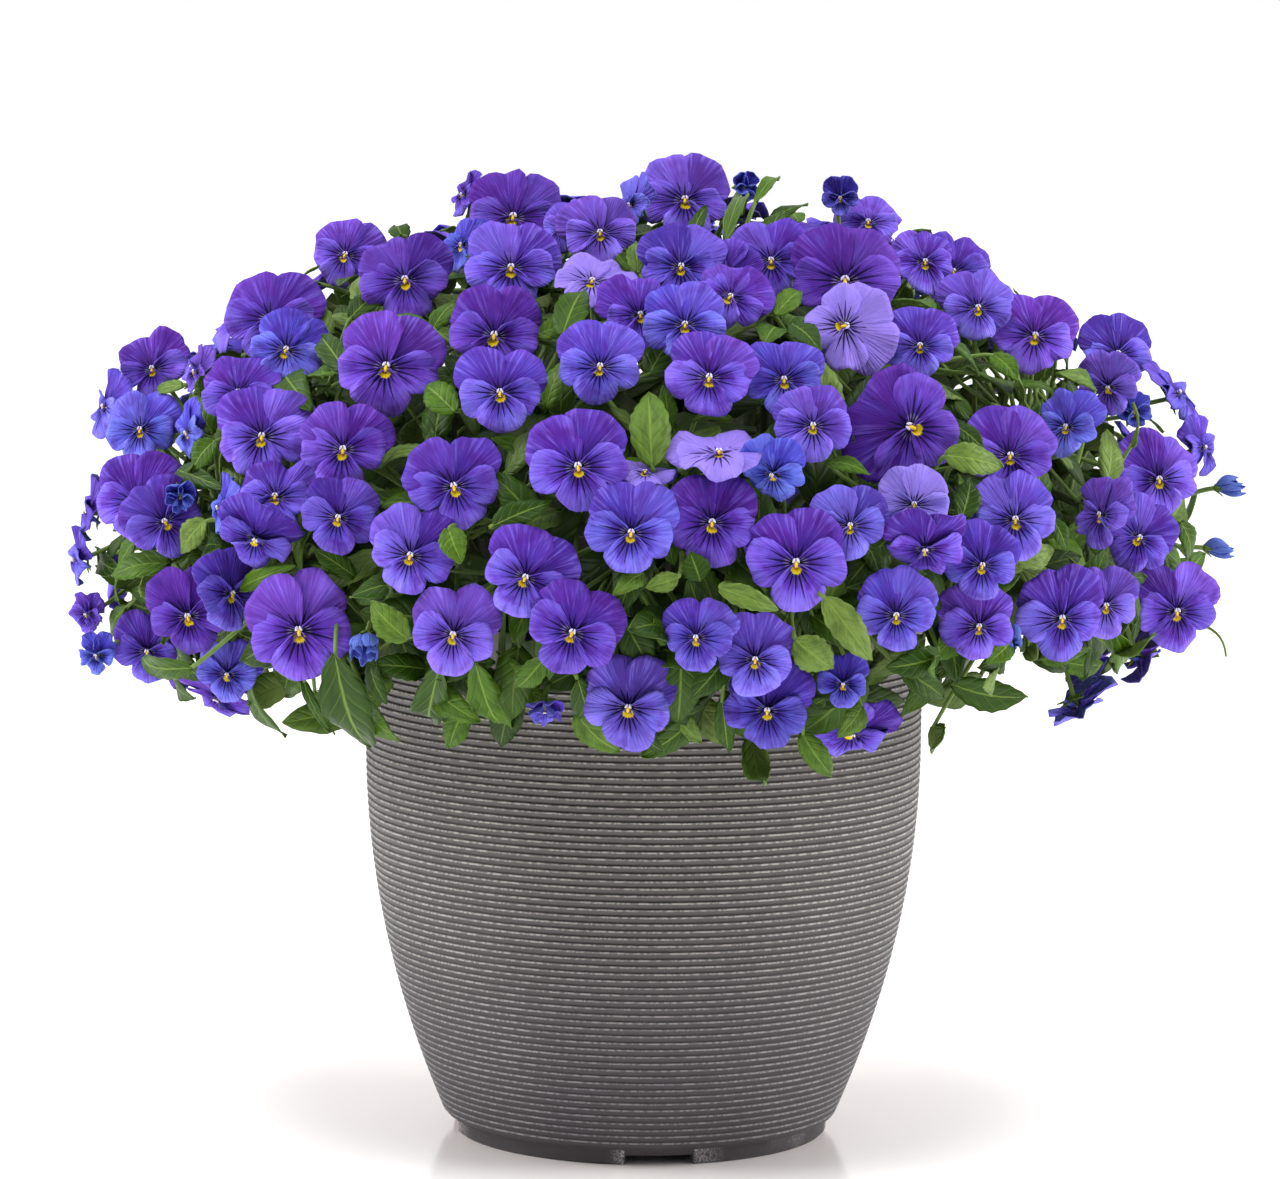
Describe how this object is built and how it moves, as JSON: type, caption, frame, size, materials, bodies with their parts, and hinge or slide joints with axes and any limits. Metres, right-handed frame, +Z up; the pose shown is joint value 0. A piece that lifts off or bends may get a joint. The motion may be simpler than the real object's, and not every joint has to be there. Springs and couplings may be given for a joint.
{
  "type": "potted pansy planter",
  "caption": "Round ribbed plastic planter with a flared foot and smooth rim, filled with soil and a wide dome of pansies in bloom over toothed leaves.",
  "frame": {"origin": "on the floor, in the middle of the pot's foot", "axes": "+Z up, the pictured front faces -Y, +X to the right as seen from the front"},
  "size_m": [0.6326, 0.6073, 0.5403],
  "materials": {
    "pot": "matt warm grey, ribbed",
    "soil": "crumbly dark potting soil",
    "petal": "velvety violet and blue petals",
    "leaf": "soft green leaves"
  },
  "bodies": {
    "root": {"leafy_stem_01": "leaf", "leafy_stem_02": "leaf", "leafy_stem_03": "leaf", "leafy_stem_04": "leaf", "leafy_stem_05": "leaf", "leafy_stem_06": "leaf", "leafy_stem_07": "leaf", "leafy_stem_08": "leaf", "leafy_stem_09": "leaf", "leafy_stem_10": "leaf", "leafy_stem_11": "leaf", "leafy_stem_12": "leaf", "leafy_stem_13": "leaf", "leafy_stem_14": "leaf", "leafy_stem_15": "leaf", "leafy_stem_16": "leaf", "leafy_stem_17": "leaf", "leafy_stem_18": "leaf", "leafy_stem_19": "leaf", "leafy_stem_20": "leaf", "leafy_stem_21": "leaf", "leafy_stem_22": "leaf", "leafy_stem_23": "leaf", "pot": "pot", "soil": "soil", "spray_01": "petal", "spray_02": "petal", "spray_03": "petal", "spray_04": "petal", "spray_05": "petal", "spray_06": "petal", "spray_07": "petal", "spray_08": "petal", "spray_09": "petal", "spray_10": "petal", "spray_11": "petal", "spray_12": "petal", "spray_13": "petal", "spray_14": "petal", "spray_15": "petal", "spray_16": "petal", "spray_17": "petal", "spray_18": "petal", "spray_19": "petal", "spray_20": "petal", "spray_21": "petal", "spray_22": "petal", "spray_23": "petal", "spray_24": "petal", "spray_25": "petal", "spray_26": "petal"}
  },
  "joints": []
}
